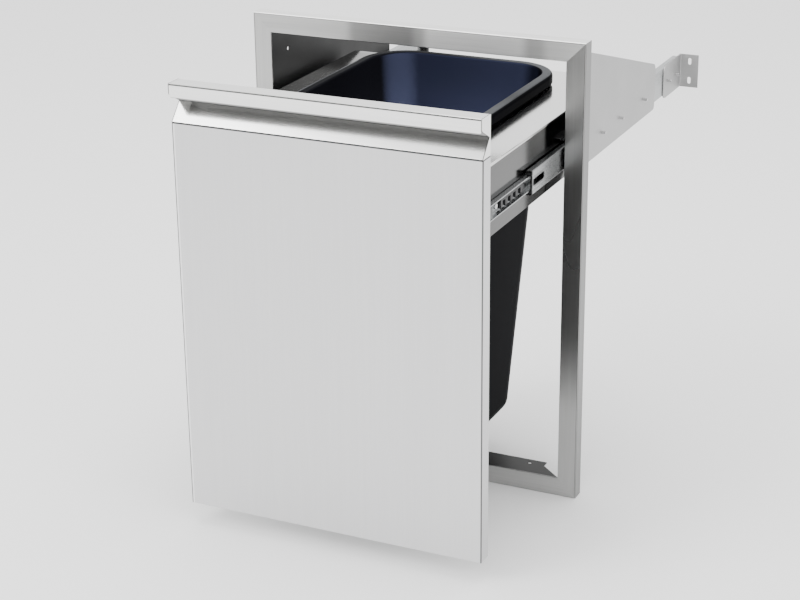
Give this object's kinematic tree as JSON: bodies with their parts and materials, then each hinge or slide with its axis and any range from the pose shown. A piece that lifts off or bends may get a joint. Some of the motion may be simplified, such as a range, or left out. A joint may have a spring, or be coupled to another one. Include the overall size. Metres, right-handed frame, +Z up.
{
  "type": "pull-out waste bin drawer",
  "caption": "Built-in pull-out bin drawer: folded face frame, inset door with full-width handle, folded carrier on telescopic ball slides, and a deep lift-out bin.",
  "frame": {"origin": "middle of the face frame's bottom edge, in the plane where the frame's return bears on the island front", "axes": "+X to the right seen from in front, +Y back into the cabinet, +Z up; the drawer opens towards -Y"},
  "size_m": [0.4624, 0.7437, 0.6128],
  "materials": {
    "frame_steel": "fine brushed stainless steel",
    "panel_steel": "mill-finish stainless steel",
    "door_steel": "fine upright brushed stainless steel",
    "liner_steel": "mill-finish stainless steel",
    "carrier_steel": "fine brushed stainless steel",
    "slide_zinc": "bright zinc-plated steel",
    "cage_zinc": "zinc-plated strip",
    "ball_steel": "polished hardened steel",
    "fastener_steel": "turned stainless steel",
    "plug_plastic": "grey moulded plastic",
    "buffer_rubber": "black rubber",
    "bin_plastic": "smooth dark moulded polyethylene"
  },
  "bodies": {
    "frame": {"frame_top_rail": "frame_steel", "frame_bottom_rail": "frame_steel", "frame_left_stile": "frame_steel", "frame_right_stile": "frame_steel", "left_side_panel": "panel_steel", "right_side_panel": "panel_steel", "left_rear_bracket": "panel_steel", "right_rear_bracket": "panel_steel", "bracket_screws": "fastener_steel", "panel_slide_screws": "fastener_steel", "slide_stop_buffers": "buffer_rubber", "left_slide_cabinet_member": "slide_zinc", "right_slide_cabinet_member": "slide_zinc"},
    "drawer": {"bin_carrier": "carrier_steel", "carrier_slide_screws": "fastener_steel", "door_bolts": "fastener_steel", "rivet_nuts": "fastener_steel", "door_face_panel": "door_steel", "door_liner": "liner_steel", "door_stiffener": "liner_steel", "handle_channel": "door_steel", "handle_left_end_cap": "door_steel", "handle_right_end_cap": "door_steel", "left_slide_drawer_member": "slide_zinc", "right_slide_drawer_member": "slide_zinc", "slide_end_plugs": "plug_plastic"},
    "bin": {"waste_bin": "bin_plastic"},
    "left_middle": {"left_slide_middle_member": "slide_zinc"},
    "left_outer_race": {"left_outer_ball_cage": "cage_zinc", "left_outer_balls": "ball_steel"},
    "left_inner_race": {"left_inner_ball_cage": "cage_zinc", "left_inner_balls": "ball_steel"},
    "right_middle": {"right_slide_middle_member": "slide_zinc"},
    "right_outer_race": {"right_outer_ball_cage": "cage_zinc", "right_outer_balls": "ball_steel"},
    "right_inner_race": {"right_inner_ball_cage": "cage_zinc", "right_inner_balls": "ball_steel"}
  },
  "joints": [
    {"name": "drawer_slide", "type": "slide", "parent": "frame", "child": "drawer", "axis": [0, -1, 0], "range_m": [-0.258, 0.199]},
    {"name": "bin_lift", "type": "slide", "parent": "drawer", "child": "bin", "axis": [0, 0, 1], "range_m": [0, 0.04]},
    {"name": "left_middle_slide", "type": "slide", "parent": "frame", "child": "left_middle", "axis": [0, -1, 0], "range_m": [-0.1291, 0.0996]},
    {"name": "left_outer_race_slide", "type": "slide", "parent": "frame", "child": "left_outer_race", "axis": [0, -1, 0], "range_m": [-0.0646, 0.04985]},
    {"name": "left_inner_race_slide", "type": "slide", "parent": "frame", "child": "left_inner_race", "axis": [0, -1, 0], "range_m": [-0.1936, 0.14935]},
    {"name": "right_middle_slide", "type": "slide", "parent": "frame", "child": "right_middle", "axis": [0, -1, 0], "range_m": [-0.1291, 0.0996]},
    {"name": "right_outer_race_slide", "type": "slide", "parent": "frame", "child": "right_outer_race", "axis": [0, -1, 0], "range_m": [-0.0646, 0.04985]},
    {"name": "right_inner_race_slide", "type": "slide", "parent": "frame", "child": "right_inner_race", "axis": [0, -1, 0], "range_m": [-0.1936, 0.14935]}
  ],
  "couplings": [
    {"joint": "left_middle_slide", "follows": "drawer_slide", "ratio": 0.5},
    {"joint": "left_outer_race_slide", "follows": "drawer_slide", "ratio": 0.25},
    {"joint": "left_inner_race_slide", "follows": "drawer_slide", "ratio": 0.75},
    {"joint": "right_middle_slide", "follows": "drawer_slide", "ratio": 0.5},
    {"joint": "right_outer_race_slide", "follows": "drawer_slide", "ratio": 0.25},
    {"joint": "right_inner_race_slide", "follows": "drawer_slide", "ratio": 0.75}
  ]
}
